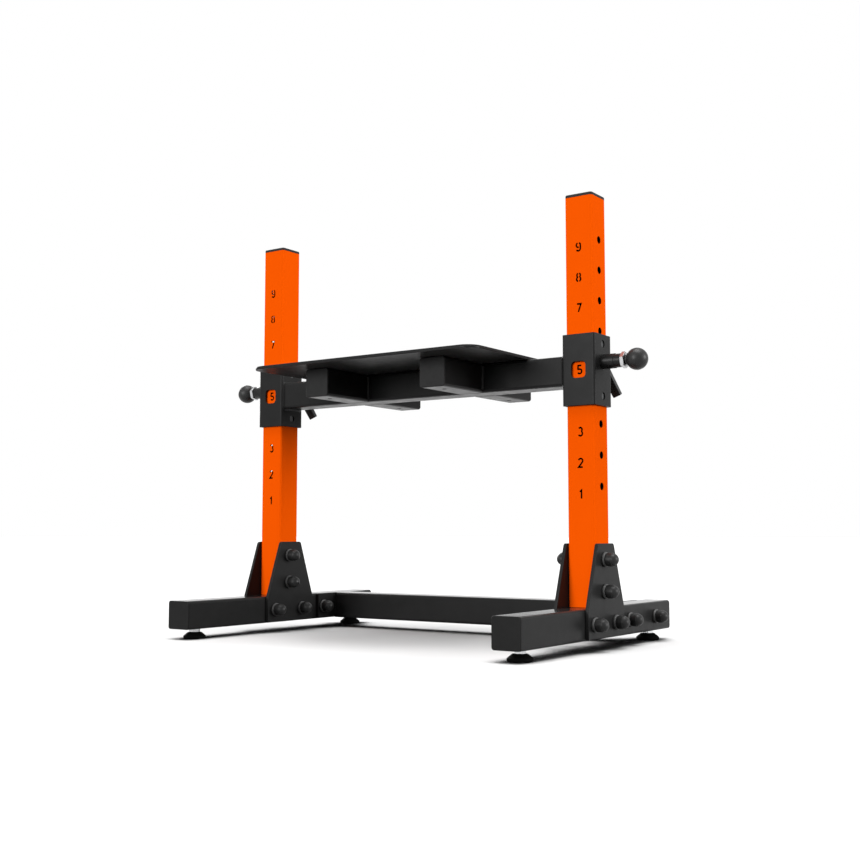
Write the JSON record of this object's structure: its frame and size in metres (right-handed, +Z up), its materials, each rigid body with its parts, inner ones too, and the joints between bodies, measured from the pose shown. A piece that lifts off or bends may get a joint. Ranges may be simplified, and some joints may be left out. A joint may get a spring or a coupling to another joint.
{
  "type": "adjustable step-up platform",
  "caption": "Step-up training platform: a plate on a crossbar that slides on two numbered uprights and locks with spring plungers and clamp levers.",
  "frame": {"origin": "on the floor, midway between the uprights and midway along the feet", "axes": "+X along the crossbar to the user's right as they face the numbers, -Y towards the front with the numbers, +Z up"},
  "size_m": [0.892, 0.524, 0.7485],
  "materials": {
    "orange_coat": "orange powder coat, fine texture",
    "black_coat": "black powder coat, satin",
    "cap_plastic": "moulded plastic, matt",
    "black_plastic": "moulded plastic, slight gloss",
    "nylon": "moulded nylon",
    "rubber": "moulded rubber, matt",
    "zinc": "bright zinc plating",
    "steel": "ground steel"
  },
  "bodies": {
    "frame": {"foot_tube_left": "black_coat", "upright_left": "orange_coat", "upright_cap_left": "cap_plastic", "gusset_inner_left": "black_coat", "gusset_outer_left": "black_coat", "gusset_bolt_left_foot_front": "black_plastic", "gusset_bolt_left_foot_rear": "black_plastic", "gusset_bolt_left_upright_lower": "black_plastic", "gusset_bolt_left_upright_upper": "black_plastic", "flange_bolt_left_front": "black_plastic", "flange_bolt_left_rear": "black_plastic", "foot_end_cap_front_left": "cap_plastic", "levelling_lock_nut_front_left": "zinc", "foot_end_cap_rear_left": "cap_plastic", "levelling_lock_nut_rear_left": "zinc", "foot_tube_right": "black_coat", "upright_right": "orange_coat", "upright_cap_right": "cap_plastic", "gusset_inner_right": "black_coat", "gusset_outer_right": "black_coat", "gusset_bolt_right_foot_front": "black_plastic", "gusset_bolt_right_foot_rear": "black_plastic", "gusset_bolt_right_upright_lower": "black_plastic", "gusset_bolt_right_upright_upper": "black_plastic", "flange_bolt_right_front": "black_plastic", "flange_bolt_right_rear": "black_plastic", "foot_end_cap_front_right": "cap_plastic", "levelling_lock_nut_front_right": "zinc", "foot_end_cap_rear_right": "cap_plastic", "levelling_lock_nut_rear_right": "zinc", "rear_cross_member": "black_coat"},
    "carriage": {"platform_frame": "black_coat", "platform_plate": "black_coat", "platform_mat": "rubber", "sleeve_left": "black_coat", "sleeve_liner_upper_left": "nylon", "sleeve_liner_lower_left": "nylon", "support_end_cap_front_left": "cap_plastic", "support_end_cap_rear_left": "cap_plastic", "sleeve_right": "black_coat", "sleeve_liner_upper_right": "nylon", "sleeve_liner_lower_right": "nylon", "support_end_cap_front_right": "cap_plastic", "support_end_cap_rear_right": "cap_plastic"},
    "plunger_left": {"plunger_pin_left": "steel", "plunger_nut_left": "zinc", "plunger_knob_left": "black_plastic", "plunger_spring_left": "steel"},
    "plunger_right": {"plunger_pin_right": "steel", "plunger_nut_right": "zinc", "plunger_knob_right": "black_plastic", "plunger_spring_right": "steel"},
    "clamp_left": {"clamp_lever_left": "black_plastic", "clamp_stud_left": "zinc"},
    "clamp_right": {"clamp_lever_right": "black_plastic", "clamp_stud_right": "zinc"},
    "levelling_foot_front_left": {"levelling_foot_front_left": "rubber"},
    "levelling_foot_rear_left": {"levelling_foot_rear_left": "rubber"},
    "levelling_foot_front_right": {"levelling_foot_front_right": "rubber"},
    "levelling_foot_rear_right": {"levelling_foot_rear_right": "rubber"}
  },
  "joints": [
    {"name": "platform_slide", "type": "slide", "parent": "frame", "child": "carriage", "axis": [0, 0, 1], "range_m": [-0.204, 0.204]},
    {"name": "plunger_slide_left", "type": "slide", "parent": "carriage", "child": "plunger_left", "axis": [-1, 0, 0], "range_m": [-0.0075, 0.004], "deforming": ["plunger_spring_left"]},
    {"name": "plunger_slide_right", "type": "slide", "parent": "carriage", "child": "plunger_right", "axis": [1, 0, 0], "range_m": [-0.0075, 0.004], "deforming": ["plunger_spring_right"]},
    {"name": "clamp_turn_left", "type": "hinge", "parent": "carriage", "child": "clamp_left", "pos_m": [-0.3375, 0.06, 0.4672], "axis": [0, 1, 0], "range_deg": [-90, 30]},
    {"name": "clamp_turn_right", "type": "hinge", "parent": "carriage", "child": "clamp_right", "pos_m": [0.3375, 0.06, 0.4672], "axis": [0, 1, 0], "range_deg": [-90, 30]},
    {"name": "levelling_screw_front_left", "type": "slide", "parent": "frame", "child": "levelling_foot_front_left", "axis": [0, 0, 1], "range_m": [-0.01, 0]},
    {"name": "levelling_screw_rear_left", "type": "slide", "parent": "frame", "child": "levelling_foot_rear_left", "axis": [0, 0, 1], "range_m": [-0.01, 0]},
    {"name": "levelling_screw_front_right", "type": "slide", "parent": "frame", "child": "levelling_foot_front_right", "axis": [0, 0, 1], "range_m": [-0.01, 0]},
    {"name": "levelling_screw_rear_right", "type": "slide", "parent": "frame", "child": "levelling_foot_rear_right", "axis": [0, 0, 1], "range_m": [-0.01, 0]}
  ]
}
